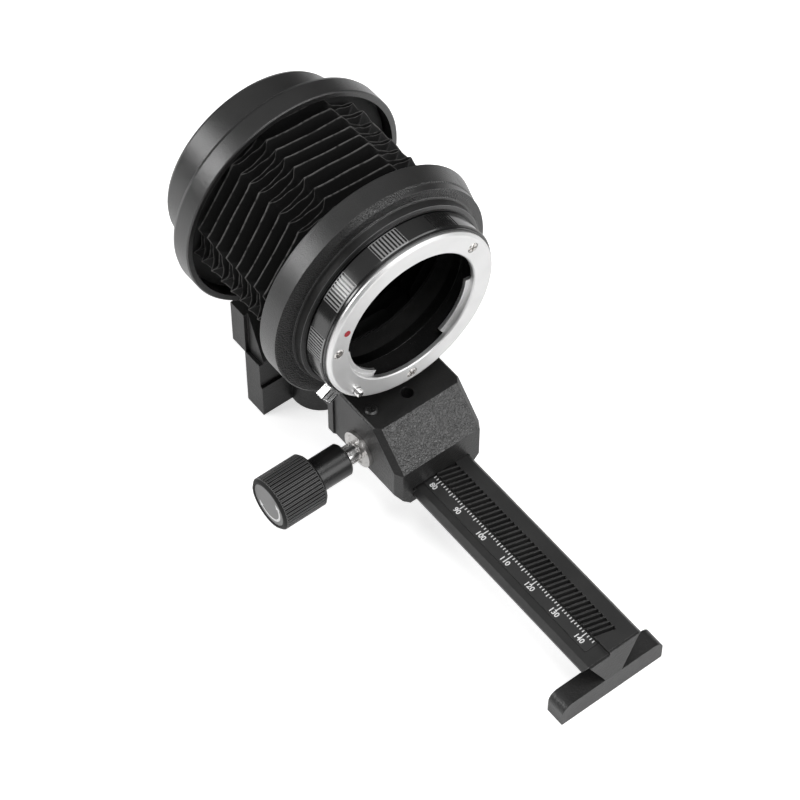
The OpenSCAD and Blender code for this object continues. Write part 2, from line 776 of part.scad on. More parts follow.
// Bright lens bayonet with three lugs behind its face
module lens_bayonet() {
    r = bayonet_d / 2;
    y_lug = face_y + lug_deep;
    color("#d6d6d4") difference() {
        union() {
            turned(mount_y, [[bayonet_r, 0], [r, 0], [r, bayonet_t - 0.7],
                             [r - 0.7, bayonet_t - 0.1], [r - 1.1, bayonet_t],
                             [bayonet_r + 0.3, bayonet_t], [bayonet_r, bayonet_t - 0.3]]);
            for (a = [90, 210, 330])
                translate([0, y_lug + lug_t, axis_h]) rotate([90, 0, 0])
                    rotate([0, 0, a]) linear_extrude(lug_t)
                    sector(lug_r, bayonet_r + 0.7, lug_deg);
            for (a = [90, 210, 330])
                translate([0, y_lug + lug_t, axis_h]) rotate([90, 0, 0])
                    rotate([0, 0, a]) linear_extrude(lug_t + lug_deep - 0.4)
                    sector(bayonet_r - 0.05, bayonet_r + 0.7, lug_deg);
        }
        for (a = screw_at) round_axis(face_y + bayonet_t + 0.1, screw_r, a) {
            translate([0, 0, -1]) cylinder(d = 1.5, h = 4);
            translate([0, 0, bayonet_t - 0.7]) cylinder(d = screw_d, h = 2);
        }
        round_axis(face_y + 0.3, screw_r - 0.9, dot_at) cylinder(d = dot_d, h = 1);
        round_axis(mount_y + 1, pin_r, pin_at) cylinder(d = pin_d + 0.3, h = 4);
    }
}

module mount_screws() {
    color("#bdbdb8") for (a = screw_at) round_axis(face_y + 0.8, screw_r, a) difference() {
        union() {
            cylinder(d = screw_d - 0.1, h = 0.6);
            translate([0, 0, 0.6]) cylinder(d1 = screw_d - 0.1, d2 = screw_d - 1, h = 0.3);
        }
        translate([0, 0, 0.45]) cross_slot(screw_d);
    }
}

module index_dot() {
    color("#c01828") round_axis(face_y + 0.3, screw_r - 0.9, dot_at)
        cylinder(d = dot_d - 0.02, h = 0.38);
}

// ---- focus drive ------------------------------------------------------

// Point on an involute of base radius b at radius r, turned by half a tooth
function involute(b, r, half) =
    let (a = acos(min(1, b / r)), roll = tan(a) * 180 / PI - a)
    r * [cos(half - roll), sin(half - roll)];

// One flank's points, from root to tip
function flank(b, half) =
    let (r0 = max(b, root_r + 0.15))
    [for (k = [0 : 2]) involute(b, r0 + k * (tip_r - r0) / 2, half)];

module pinion_outline() {
    at = atan(tan(20) / cos(helix));
    b = pitch_r * cos(at);
    half = 90 / pinion_n + (tan(at) * 180 / PI - at) - play / pitch_r * 90 / PI;
    f = flank(b, half);
    g = [for (p = f) [p[0], -p[1]]];
    union() {
        circle(r = root_r, $fn = 2 * pinion_n);
        for (i = [0 : pinion_n - 1]) rotate([0, 0, i * 360 / pinion_n])
            polygon([[0, 0], root_r * [cos(half), -sin(half)], g[0], g[1], g[2],
                     f[2], f[1], f[0], root_r * [cos(half), sin(half)]]);
    }
}

module pinion() {
    twist = pinion_w * tan(helix) / pitch_r * 180 / PI;
    color("#a8a49c") translate([pinion_x, pinion_y, pinion_z]) rotate([0, 90, 0])
        linear_extrude(pinion_w, twist = twist, slices = 3)
        rotate([0, 0, mesh_turn]) pinion_outline();
}

// Fluted shaft from the knob to the pinion, and the journal beyond it
module focus_shaft() {
    color("#c4c4c2") {
        difference() {
            bar(hub_x, pinion_x, shaft_d);
            for (i = [0 : 5]) translate([hub_x + 0.6, pinion_y, pinion_z])
                rotate([30 + i * 60, 0, 0]) translate([0, -0.55, shaft_d / 2 - 0.45])
                cube([shaft_gap - 1, 1.1, 1]);
        }
        bar(pinion_x + pinion_w, bore_end - 0.3, journal_d);
    }
}

module knob_hub() {
    color("#141415") translate([hub_x, pinion_y, pinion_z]) rotate([0, -90, 0])
        rotate_extrude() polygon([[0, 0], [hub_d / 2 - 0.5, 0], [hub_d / 2, 0.5],
                                  [hub_d / 2, hub_l], [0, hub_l]]);
}

// Ribbed knob with a recess for the end disc
module focus_knob() {
    r = knob_d / 2;
    color("#1a1a1b") translate([knob_x, pinion_y, pinion_z]) rotate([0, -90, 0])
        difference() {
            rotate_extrude() polygon([[0, 0], [r - 0.7, 0], [r, 0.7], [r, knob_l - 0.8],
                                      [r - 0.8, knob_l], [disc_d / 2 + 0.1, knob_l],
                                      [disc_d / 2 + 0.1, knob_l - disc_deep],
                                      [0, knob_l - disc_deep]]);
            for (i = [0 : knob_ribs - 1]) rotate([0, 0, i * 360 / knob_ribs])
                translate([r - 0.35, -0.26, 0.8]) cube([1, 0.52, knob_l - 1.6]);
        }
}

module knob_disc() {
    color("#8f8b90") bar(cap_x + 0.2, cap_x + disc_deep, disc_d);
}

// ---- lens release -----------------------------------------------------

// Lever tab through the grip's window; its arm carries the lock pin
module release_lever() {
    y = grip_front + tab_t;
    r = grip_d / 2;
    color("#cfcfcc") translate([0, y - 0.06, axis_h]) rotate([90, 0, 0]) difference() {
        union() {
            rotate([0, 0, tab_at]) translate([grip_bore + 1.2, -tab_w / 2, 0.2])
                cube([r + tab_out - grip_bore - 1.2, tab_w, tab_t - 0.3]);
            rotate([0, 0, (tab_at + pin_at) / 2]) linear_extrude(1.2)
                sector(grip_bore + 1.2, pin_r + 0.6, pin_at - tab_at + 6);
        }
        rotate([0, 0, tab_at]) for (i = [-1, 0, 1])
            translate([r + 0.6, i * tab_w * 0.28 - 0.3, tab_t - 0.5])
                cube([tab_out, 0.6, 1]);
    }
}

module lock_pin() {
    l = tab_t + spacer_t + bayonet_t + pin_out - 1.3;
    color("#dadad6") round_axis(grip_front + tab_t - 1.3, pin_r, pin_at) {
        cylinder(d = pin_d, h = l - 0.3);
        translate([0, 0, l - 0.3]) cylinder(d1 = pin_d, d2 = pin_d - 0.6, h = 0.3);
    }
}

// ---- bellows ----------------------------------------------------------

// Twelve-sided section: six flat panels and six short corner folds
module bellows() {
    turns = [for (k = [0 : 5], s = [-1, 1]) 30 + cloth_turn + 60 * k + s * panel_deg / 2];
    n = len(turns);
    rings = 2 * pleats + 1;
    ring_at = [for (i = [0 : rings - 1]) cloth_r - (i % 2 == 0 ? pleat_deep : 0)];
    points = [for (wall = [0, cloth_wall], i = [0 : rings - 1], a = turns)
              [(ring_at[i] - wall) * cos(a), (ring_at[i] - wall) * sin(a), i * pleat_l / 2]];
    inner = n * rings;
    last = n * (rings - 1);
    faces = concat(
        [for (i = [0 : rings - 2], k = [0 : n - 1])
         [i * n + k, (i + 1) * n + k, (i + 1) * n + (k + 1) % n, i * n + (k + 1) % n]],
        [for (i = [0 : rings - 2], k = [0 : n - 1])
         [inner + i * n + k, inner + i * n + (k + 1) % n,
          inner + (i + 1) * n + (k + 1) % n, inner + (i + 1) * n + k]],
        [for (k = [0 : n - 1]) [k, (k + 1) % n, inner + (k + 1) % n, inner + k]],
        [for (k = [0 : n - 1]) [last + k, inner + last + k,
                                inner + last + (k + 1) % n, last + (k + 1) % n]]
    );
    color("#101011") translate([0, cloth_y0, axis_h]) rotate([90, 0, 0])
        polyhedron(points, faces, convexity = 12);
}

// ---- nodes ------------------------------------------------------------

rail_bar();
front_foot();
rear_base();
tripod_bush();
scale_strip();
rear_standard();
standard_screws();
rear_ring();
rear_clamp();
camera_ring();
camera_bayonet();
camera_screws();
carriage_block();
end_plate();
plate_screws();
top_screw();
bearing_bush();
shaft_cap();
front_ring();
front_clamp();
grip_ring();
spacer_ring();
lens_bayonet();
mount_screws();
index_dot();
focus_shaft();
pinion();
knob_hub();
focus_knob();
knob_disc();
release_lever();
lock_pin();
bellows();
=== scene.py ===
# Looks for the macro bellows unit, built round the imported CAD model. Sizes are in mm unless a name ends in M.
import math

import bmesh
import bpy
import numpy as np
from mathutils import Matrix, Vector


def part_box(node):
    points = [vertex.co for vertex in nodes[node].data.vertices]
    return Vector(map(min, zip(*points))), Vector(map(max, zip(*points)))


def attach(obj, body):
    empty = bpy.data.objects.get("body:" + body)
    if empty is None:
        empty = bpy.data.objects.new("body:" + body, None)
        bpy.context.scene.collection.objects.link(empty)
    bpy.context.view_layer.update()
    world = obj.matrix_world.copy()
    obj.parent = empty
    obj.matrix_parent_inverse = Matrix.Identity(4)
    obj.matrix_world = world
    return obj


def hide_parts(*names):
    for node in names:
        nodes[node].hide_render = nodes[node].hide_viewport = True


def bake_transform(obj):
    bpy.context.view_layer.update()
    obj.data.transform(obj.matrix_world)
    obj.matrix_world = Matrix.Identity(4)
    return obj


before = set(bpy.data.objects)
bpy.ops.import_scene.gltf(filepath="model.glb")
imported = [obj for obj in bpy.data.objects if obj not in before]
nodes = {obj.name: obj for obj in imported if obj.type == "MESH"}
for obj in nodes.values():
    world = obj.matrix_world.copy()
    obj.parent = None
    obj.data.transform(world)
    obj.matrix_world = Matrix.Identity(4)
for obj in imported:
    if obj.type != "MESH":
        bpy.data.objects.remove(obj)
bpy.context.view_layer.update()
mm = 0.001
axisHeight = 71.6  # of the optical axis over the feet
print("frame loaded:", len(nodes), "nodes")


# ---- camera: the photograph's own place and angle

view = {
    "place": (-282.84, -399.65, 649.95),
    "azimuth": -37.88,
    "elevation": 53.34,
    "roll": 0.03,
    "lens": 131.0,
}


def makeCamera(v):
    a, e, r = (math.radians(v[k]) for k in ("azimuth", "elevation", "roll"))
    back = np.array([math.sin(a) * math.cos(e), -math.cos(a) * math.cos(e), math.sin(e)])
    level = np.array([math.cos(a), math.sin(a), 0.0])
    upright = np.cross(back, level)
    right = level * math.cos(r) + upright * math.sin(r)
    turn = np.eye(4)
    turn[:3, 0], turn[:3, 1], turn[:3, 2] = right, np.cross(back, right), back
    turn[:3, 3] = np.array(v["place"]) * mm
    data = bpy.data.cameras.new("camera")
    data.sensor_width, data.lens = 36, v["lens"]
    data.clip_start, data.clip_end = 0.01, 20
    camera = bpy.data.objects.new("camera", data)
    bpy.context.scene.collection.objects.link(camera)
    camera.matrix_world = Matrix(turn.tolist())
    bpy.context.scene.camera = camera


makeCamera(view)
print("camera placed")


# ---- shader maths written as plain expressions


class Wire:  # one output socket; an operator on it adds a Math node
    def __init__(self, net, socket):
        self.net, self.socket = net, socket

    def do(self, operation, *others, clamp=False):
        return self.net.add("ShaderNodeMath", {"operation": operation, "use_clamp": clamp}, [self, *others])

    def __add__(self, other):
        return self.do("ADD", other)

    def __sub__(self, other):
        return self.do("SUBTRACT", other)

    def __mul__(self, other):
        return self.do("MULTIPLY", other)

    def __truediv__(self, other):
        return self.do("DIVIDE", other)

    def __pow__(self, other):
        return self.do("POWER", other)

    def __mod__(self, other):
        return self.do("FLOORED_MODULO", other)

    def __lt__(self, other):
        return self.do("LESS_THAN", other)

    def __gt__(self, other):
        return self.do("GREATER_THAN", other)

    def __rsub__(self, other):
        return self.net.add("ShaderNodeMath", {"operation": "SUBTRACT"}, [other, self])

    __radd__, __rmul__ = __add__, __mul__

    def clamp(self):
        return self.do("ADD", 0.0, clamp=True)

    def ramp(self, low, high):  # 0 below low, 1 above high, eased between
        return self.net.add(
            "ShaderNodeMapRange", {"interpolation_type": "SMOOTHSTEP"}, [self, low, high, 0.0, 1.0]
        )


class Net:  # the node tree of one material, or of the world
    def __init__(self, name, world=None):
        self.material = world or bpy.data.materials.new(name)
        self.material.use_nodes = True
        self.tree = self.material.node_tree
        self.tree.nodes.clear()

    def add(self, kind, settings=None, values=(), out=0):
        node = self.tree.nodes.new(kind)
        for key, value in (settings or {}).items():
            setattr(node, key, value)
        for key, value in values.items() if isinstance(values, dict) else enumerate(values):
            if isinstance(value, Wire):
                self.tree.links.new(value.socket, node.inputs[key])
            elif value is not None:
                node.inputs[key].default_value = value
        return Wire(self, node.outputs[out]) if len(node.outputs) else node

    def place(self, kind="Object"):
        return self.add("ShaderNodeTexCoord", out=kind)

    def split(self, vector):
        x = self.add("ShaderNodeSeparateXYZ", values=[vector])
        return [Wire(self, x.socket.node.outputs[i]) for i in range(3)]

    def noise(self, size, detail=2.0, rough=0.5, at=None, stretch=None):  # size is the length of one blob
        where = at or self.place()
        if stretch:
            where = self.add("ShaderNodeMapping", values={"Vector": where, "Scale": stretch})
        return self.add(
            "ShaderNodeTexNoise",
            values={"Vector": where, "Scale": 1 / (size * mm), "Detail": detail, "Roughness": rough},
        )

    def cells(self, size):
        return self.add(
            "ShaderNodeTexVoronoi",
            {"feature": "SMOOTH_F1"},
            {"Vector": self.place(), "Scale": 1 / (size * mm), "Smoothness": 0.6},
        )

    def mix(self, amount, a, b):
        return self.add("ShaderNodeMix", {"data_type": "RGBA"}, {0: amount, 6: a, 7: b}, out=2)

    def blend(self, amount, a, b):  # the material made of two shaders
        both = self.add("ShaderNodeMixShader", values=[amount, a, b])
        self.add("ShaderNodeOutputMaterial", values=[both])
        return self.material

    def dot(self, a, b):
        return self.add("ShaderNodeVectorMath", {"operation": "DOT_PRODUCT"}, [a, b], out="Value")

    def facing(self, way):  # how squarely the true surface faces that way
        return self.dot(self.add("ShaderNodeNewGeometry", out="Normal"), way)

    def edge(self, radius):  # normals rounded over an edge, and how far they turn there
        soft = self.add("ShaderNodeBevel", {"samples": 6}, {"Radius": radius * mm})
        true = self.add("ShaderNodeNewGeometry", out="Normal")
        return soft, (1 - self.dot(soft, true)).ramp(0.012, 0.14)

    def bump(self, height, normal=None, strength=1.0):  # height is in mm
        return self.add(
            "ShaderNodeBump", values={"Strength": strength, "Distance": mm, "Height": height, "Normal": normal}
        )

    def shader(self, **sockets):
        return self.add("ShaderNodeBsdfPrincipled", values={k.replace("_", " "): v for k, v in sockets.items()})

    def finish(self, **sockets):
        self.add("ShaderNodeOutputMaterial", values=[self.shader(**sockets)])
        return self.material

    def around(self, axis="y", centre=(0, axisHeight)):  # distance, turn in degrees and y round a line along x or y
        x, y, z = self.split(self.place())
        across = (x if axis == "y" else y) / mm - centre[0]
        up = z / mm - centre[1]
        return (across * across + up * up) ** 0.5, up.do("ARCTAN2", across) * (180 / math.pi), y / mm

    def leftness(self, radius):  # 0 at the right of the optical axis, 1 over it, 2 at the left
        return 1 - self.dot(self.place(), (1, 0, 0)) / mm / radius


def grey(v, warm=0.0):
    return (v * (1 + warm), v, v * (1 - warm), 1.0)


# ---- finishes

# base: colour, rough: roughness, peel and grain: size and height in mm, edge: rounding in mm, wear: pale edges,
# partly rubbed paint and partly painted highlight; gloss: specular level where it isn't 0.8
paints = {
    "castBlack": dict(
        base=0.012, rough=0.40, peel=(0.55, 0.030), grain=(0.18, 0.016), edge=0.24, wearAndGlint=0.55, gloss=0.52
    ),
    # a darker, less glossy copy of castBlack: painted shade on the rear parts, which sit under the rings
    "rearShadedBlack": dict(
        base=0.009, rough=0.42, peel=(0.55, 0.022), grain=(0.18, 0.012), edge=0.22, wearAndGlint=0.5, gloss=0.40
    ),
    "slopeBlack": dict(
        base=0.015, rough=0.33, peel=(0.54, 0.17), grain=(0.17, 0.016), edge=0.26, wearAndGlint=0.45, gloss=1.0
    ),
    "railBlack": dict(
        base=0.013, rough=0.40, peel=(0.9, 0.006), grain=(0.14, 0.008), edge=0.12, wearAndGlint=0.6, gloss=0.62
    ),
    "turnedBlack": dict(base=0.013, rough=0.32, peel=(0.5, 0.008), grain=(0.22, 0.024), edge=0.22, wearAndGlint=0.6),
    "frontBlack": dict(base=0.013, rough=0.32, peel=(0.42, 0.130), grain=(0.24, 0.034), edge=0.22, wearAndGlint=0.6),
    "glossBlack": dict(base=0.010, rough=0.17, peel=(1.2, 0.002), grain=(0.2, 0.001), edge=0.04, wearAndGlint=0.9),
    "hubBlack": dict(
        base=0.006, rough=0.28, peel=(0.8, 0.003), grain=(0.15, 0.004), edge=0.14, wearAndGlint=0.3, gloss=0.6
    ),
    "knobBlack": dict(
        base=0.003, rough=0.36, peel=(0.6, 0.004), grain=(0.16, 0.003), edge=0.03, wearAndGlint=0.25, gloss=0.42
    ),
    "stripBlack": dict(base=0.006, rough=0.55, peel=(0.8, 0.001), grain=(0.12, 0.002), edge=0.06, wearAndGlint=0.25),
    "screwBlack": dict(base=0.012, rough=0.33, peel=(0.5, 0.003), grain=(0.12, 0.003), edge=0.08, wearAndGlint=0.5),
    "innerBlack": dict(base=0.004, rough=0.80, peel=(0.5, 0.010), grain=(0.16, 0.020), edge=0.10, wearAndGlint=0.1),
}
ribHighlights = {  # painted highlights on rib tops: the line they go round, depth, level, groups (first, pitch, half) and fine lines
    "knobBlack": dict(axis="x", node="focus_knob", above=0.17, level=0.085, groups=None, fine=(360 / 44, 0.75)),
    "glossBlack": dict(axis="y", node="grip_ring", above=0.20, level=0.24, groups=(98, 36, 9.1), fine=None),
}
slope = {  # the block: only the way that it faces has the coarse peel and the full gloss; the other faces get a less glossy copy, a painted shade
    "faces": (0.0, -0.740, 0.673),
    "gloss": 0.34,  # of the other faces, their painted shade
}
front = {  # the front ring: its face, and all in front of faceEnd, get a less glossy, shaded copy of the paint towards the left, and thin pale lines of painted highlight
    "faceEnd": -30.2,
    "faceInner": 28,
    "gloss": 0.20,
    "lines": ((29.45, 0.05, 0.08), (28.70, 0.06, 0.12)),  # radius, half width and level of each painted highlight line
    "black": 28.05,  # radius below which it is black
    # where the painted shade on the left comes in
    "left": (1.12, 1.42),
}


def ribTops(net, r, colour, rough):
    low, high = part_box(r["node"])
    across = (low.x + high.x) / 2 if r["axis"] == "y" else (low.y + high.y) / 2
    radius, turn, _ = net.around(r["axis"], (across / mm, (low.z + high.z) / 2 / mm))
    # painted highlight: the top of each rib is made pale
    top = radius > (high.z - low.z) / 2 / mm - r["above"]
    if r["fine"]:  # the painted highlight stops short of the middle of each rib, which leaves a dark line there
        pitch, half = r["fine"]
        top = top * (((turn % pitch) - pitch / 2).do("ABSOLUTE") > half)
    if r["groups"]:
        start, pitch, half = r["groups"]
        top = top * (((turn - (start - pitch / 2)) % pitch - pitch / 2).do("ABSOLUTE") < half)
        # the grip's painted highlights fade out towards the right, away from the light
        top = top * net.leftness(radius).ramp(0.62, 0.98)
    rougher = top * 0.10 if r["groups"] else (1 - top) * 0.35
    return net.mix(top, colour, grey(r["level"])), rough + rougher


def paint(name, p):
    net = Net(name)
    soft, edge = net.edge(p["edge"])
    patch = net.noise(9, 3)
    broken = net.noise(1.1, 3)
    peel = net.cells(p["peel"][0])
    grain = net.noise(p["grain"][0], 2)
    if name == "slopeBlack":
        coarse = net.facing(slope["faces"]).ramp(0.84, 0.94)
        peel = peel * (coarse * 0.85 + 0.15)
    if name == "frontBlack":
        radius, _, depth = net.around()
        face = net.facing((0, -1, 0)).ramp(0.45, 0.60)
        onFace = face * (depth > front["faceEnd"]) * (radius > front["faceInner"])
        peel = peel * (onFace * 0.9 + 0.1)
    height = peel * p["peel"][1] * 2 + grain * p["grain"][1] * 2
    # pale edges: partly rubbed paint, partly painted highlight along the edges
    wearAndGlintMask = edge * broken.ramp(0.30, 0.62) * p["wearAndGlint"]
    dust = net.noise(0.5, 1).ramp(0.735, 0.80) * 0.10
    base = net.mix(patch.ramp(0.3, 0.7) * 0.6, grey(p["base"]), grey(p["base"] * 1.5, 0.02))
    colour = net.mix((wearAndGlintMask * 0.5 + dust).clamp(), base, grey(0.20, 0.02))
    rough = p["rough"] + (patch - 0.5) * 0.10 - edge * 0.08
    # painted highlights on the rib tops
    if name in ribHighlights:
        colour, rough = ribTops(net, ribHighlights[name], colour, rough)
    if name == "frontBlack":
        ahead = face.do("MAXIMUM", depth < front["faceEnd"])
        # painted highlights: thin pale lines round the ring
        for place, half, level in front["lines"]:
            line = ((radius - place).do("ABSOLUTE") < half) * ahead
            colour = net.mix(line * broken.ramp(0.2, 0.4), colour, grey(level))
        colour = net.mix((radius < front["black"]) * ahead, colour, grey(0.001))
    sockets = dict(Base_Color=colour, Roughness=rough.clamp(), Normal=net.bump(height, soft))
    bright = dict(sockets, Specular_IOR_Level=p.get("gloss", 0.8))
    if name == "slopeBlack":  # painted shade: the other faces get a less glossy copy of the paint than the slope
        return net.blend(coarse, net.shader(**sockets, Specular_IOR_Level=slope["gloss"]), net.shader(**bright))
    if name == "frontBlack":
        # painted shade: towards the left, the face and all ahead of it get a less glossy, shaded copy of the paint
        left = net.leftness(radius).ramp(*front["left"])
        shadedCopy = net.shader(**sockets, Specular_IOR_Level=front["gloss"])
        return net.blend(ahead * (left * 0.8 + 0.2), net.shader(**bright), shadedCopy)
    return net.finish(**bright)


# turned: depth of the lathe lines in mm, round the optical axis; grooves: place in degrees, pitch, half width and
# inner radius of the painted shade lines across the lever's tab
metals = {
    "brightChrome": dict(base=0.75, warm=0.002, rough=0.45, turned=0.0012, edge=0.16),
    "shaftChrome": dict(base=0.78, warm=0.01, rough=0.16, turned=0.0, edge=0.08),
    "screwChrome": dict(base=0.62, warm=0.03, rough=0.26, turned=0.0, edge=0.05),
    "leverChrome": dict(
        base=0.80, warm=0.0, rough=0.24, turned=0.0, edge=0.06, grooves=(212, 2.2, 0.26, 27.9)
    ),
    "brassBush": dict(base=0.60, warm=0.02, rough=0.34, turned=0.0, edge=0.10),
    "steelPlain": dict(base=0.50, warm=0.01, rough=0.33, turned=0.0, edge=0.10),
}


def metal(name, m):
    net = Net(name)
    soft, _ = net.edge(m["edge"])
    smudge = net.noise(5, 3)
    fine = net.noise(0.25, 2)
    height = fine * 0.0012
    if m["turned"]:
        ring = net.add("ShaderNodeCombineXYZ", values=[net.around()[0] * mm, 0.0, 0.0])
        height = height + net.noise(0.16, 2, at=ring) * m["turned"] * 2
    clean, dirty = grey(m["base"], m["warm"]), grey(m["base"] * 0.92, m["warm"])
    colour = net.mix(smudge.ramp(0.35, 0.75) * 0.4, clean, dirty)
    if "grooves" in m:
        at, pitch, half, beyond = m["grooves"]
        radius, turn, _ = net.around()
        along = (turn % 360 - at) * (math.pi / 180) * radius
        groove = ((along + pitch / 2) % pitch - pitch / 2).do("ABSOLUTE") < half
        # painted shade: dark lines across the lever's tab where its hollows are
        colour = net.mix(groove * (radius > beyond), colour, grey(0.03))
    rough = m["rough"] + (smudge - 0.5) * 0.05 + (fine - 0.5) * 0.04
    return net.finish(Base_Color=colour, Metallic=1.0, Roughness=rough.clamp(), Normal=net.bump(height, soft))


def discFinish():  # the knob's end disc: grey, finely brushed one way
    net = Net("discGrey")
    soft, _ = net.edge(0.08)
    lines = net.noise(0.5, 3, stretch=(1.0, 0.12, 2.4))
    colour = net.mix(lines, grey(0.115), grey(0.15))
    rough = 0.36 + (lines - 0.5) * 0.2
    return net.finish(Base_Color=colour, Metallic=0.35, Roughness=rough, Normal=net.bump(lines * 0.004, soft))


def printFinish(name, level, tint=(1, 1, 1)):  # printed ink, a little uneven
    net = Net(name)
    blot = net.noise(0.35, 2)
    low = tuple(level * 0.80 * t for t in tint) + (1.0,)
    high = tuple(level * t for t in tint) + (1.0,)
    return net.finish(Base_Color=net.mix(blot.ramp(0.3, 0.6), low, high), Roughness=0.45 + blot * 0.1)


cloth = {
    "pleats": 9,
    "back": 12.4,
    "front": -23.8,
    "ridge": 29.9,  # radius over the folds
    "valley": 24.5,
    "wall": 0.5,
    "turn": -4.0,  # degrees that the six panels are turned round the axis
    "panelHalf": 19.5,  # degrees from a panel's middle to where the corner fold starts
    "tip": 0.03,  # half the flat width of a fold's tip, in pleats
    "quickEdge": (0.68, 0.2, 0.20, 0.12),  # how an edge parts across a corner: early jump, its share, steady, close
    "slowEdge": (0.62, 0.6, 0.08, 0.30),
    "pinch": 1.1,  # how deep the corner folds are tucked in
    "ear": 0.42,  # how far the tips beside them stand out
    "panelColumns": 12,
    "cornerColumns": 44,
    "rows": 6,  # rows on each flank of a fold
    "wrinkle": 0.20,
    "flatRadius": 25.8,  # mean radius, for the sheets' flat length
}


def clothFinish():  # close black weave, pale along the folds' tips, partly rubbed cloth and partly painted highlight
    net = Net("clothBlack")
    u, v, _ = net.split(net.place("UV"))
    warp = (u * 2 * math.pi * 620).do("SINE")
    weft = (v * 2 * math.pi * 150).do("SINE")
    weave = warp * weft
    fibre = net.noise(0.5, 4)
    soft = net.noise(6, 2)
    ridge = net.add("ShaderNodeAttribute", {"attribute_name": "ridge"}, out="Fac")
    # pale fold tips: partly rubbed cloth, partly painted highlight
    wearAndGlintMask = (ridge * net.noise(1.6, 3).ramp(0.22, 0.6)).clamp()
    base = net.mix((fibre * 0.6 + weave * 0.25).clamp(), grey(0.002), grey(0.008, 0.02))
    colour = net.mix(wearAndGlintMask * 0.6, base, grey(0.17, 0.02))
    height = weave * 0.012 + fibre * 0.05 + soft * 0.25
    return net.finish(
        Base_Color=colour,
        Roughness=(0.82 - wearAndGlintMask * 0.2).clamp(),
        Normal=net.bump(height, strength=0.6),
        Sheen_Weight=0.05,
        Sheen_Roughness=0.5,
        Specular_IOR_Level=0.16,
    )


finishes = {name: paint(name, p) for name, p in paints.items()}
finishes.update({name: metal(name, m) for name, m in metals.items()})
finishes["discGrey"] = discFinish()
finishes["white"] = printFinish("inkWhite", 0.78)
finishes["red"] = printFinish("inkRed", 0.36, (1.0, 0.02, 0.05))
finishes["cloth"] = clothFinish()

wears = {
    "rail_bar": "railBlack",
    "front_foot": "castBlack",
    "rear_base": "rearShadedBlack",
    "tripod_bush": "brassBush",
    "scale_strip": "stripBlack",
    "rear_standard": "rearShadedBlack",
    "standard_screws": "screwBlack",
    "rear_ring": "turnedBlack",
    "rear_clamp": "innerBlack",
    "camera_ring": "turnedBlack",
    "camera_bayonet": "brightChrome",
    "camera_screws": "screwChrome",
    "carriage_block": "slopeBlack",
    "end_plate": "castBlack",
    "plate_screws": "screwBlack",
    "top_screw": "screwBlack",
    "bearing_bush": "brassBush",
    "shaft_cap": "castBlack",
    "front_ring": "frontBlack",
    "front_clamp": "innerBlack",
    "grip_ring": "glossBlack",
    "spacer_ring": "glossBlack",
    "lens_bayonet": "brightChrome",
    "mount_screws": "screwChrome",
    "index_dot": "red",
    "focus_shaft": "shaftChrome",
    "pinion": "steelPlain",
    "knob_hub": "hubBlack",
    "focus_knob": "knobBlack",
    "knob_disc": "discGrey",
    "release_lever": "leverChrome",
    "lock_pin": "shaftChrome",
    "bellows": "cloth",
}
for name, finish in wears.items():
    mesh = nodes[name].data
    mesh.materials.clear()
    mesh.materials.append(finishes[finish])
print("finishes on:", len(wears), "nodes")


# ---- pieces made here


def addPiece(name, mesh, finish, body=None):
    mesh.materials.append(finishes[finish])
    piece = bpy.data.objects.new(name, mesh)
    bpy.context.scene.collection.objects.link(piece)
    if body:
        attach(piece, body)
    return piece


def makeMesh(name, points, faces, finish, body=None, smooth=False):
    mesh = bpy.data.meshes.new(name)
    mesh.from_pydata((points * mm).tolist(), [], faces)
    mesh.polygons.foreach_set("use_smooth", np.full(len(mesh.polygons), smooth))
    return addPiece(name, mesh, finish, body)


def ringQuads(rows, columns, first=0):  # quads of a grid of points that closes round its columns
    i, k = np.meshgrid(np.arange(rows - 1), np.arange(columns), indexing="ij")
    n = (k + 1) % columns
    corners = [i * columns + k, i * columns + n, (i + 1) * columns + n, (i + 1) * columns + k]
    return first + np.stack(corners, -1).reshape(-1, 4)


def eased(t):  # 3t^2 - 2t^3 between 0 and 1
    t = np.clip(t, 0, 1)
    return t * t * (3 - 2 * t)


# Six flat panels with a tucked corner between each two. Folds lie at whole turns on three panels and half a turn
# further on the three between. t runs from 0 to 1 across a corner, from the first kind of panel to the other.
def clothColumns(c):
    width = 30 - c["panelHalf"]
    corner = -width + 2 * width * np.arange(c["cornerColumns"]) / c["cornerColumns"]
    panel = width + (60 - 2 * width) * np.arange(c["panelColumns"]) / c["panelColumns"]
    near = np.tile(np.concatenate([corner, panel]), 6)
    sector = np.repeat(np.arange(6), c["cornerColumns"] + c["panelColumns"])
    t = np.clip(near / (2 * width) + 0.5, 0, 1)
    return c["turn"] + 60 * sector + near, np.where(sector % 2 == 0, t, 1 - t)


# Across a corner each fold's tip splits in two edges that part by a whole turn and meet their neighbours there:
# knots are, from one fold's middle to the next, hollow, edge, hollow, edge, hollow. A flank is straight with
# softened ends, and its depth follows its width.
def clothFolds(c, index, t):
    reach = 0.5 - 2 * c["tip"]
    quick, slow = (
        c["tip"] + reach * (jump * eased(t / over) + steady * t + close * eased((t - 0.85) / 0.15))
        for jump, over, steady, close in (c["quickEdge"], c["slowEdge"])
    )
    middle = (quick - slow) / 2
    knots = index + np.stack([middle, quick, middle + 0.5, 1 - slow, 1 + middle])
    knots = np.minimum(knots, c["pleats"])
    q = np.arange(c["rows"]) / c["rows"]
    q = q - 0.075 * np.sin(2 * np.pi * q)  # rows crowd towards the folds
    part, q = np.append(np.repeat(np.arange(4), c["rows"]), 3), np.append(np.tile(q, 4), 1.0)[:, None]
    width = knots[part + 1] - knots[part]
    u = knots[part] + width * q
    up = np.where(part[:, None] % 2 == 0, q, 1 - q)
    up = 0.5 + np.arcsin(0.97 * np.sin(np.pi * (up - 0.5))) / (2 * np.arcsin(0.97))
    return u, 1 - 2 * np.maximum(width - c["tip"], 0) / reach * (1 - up)


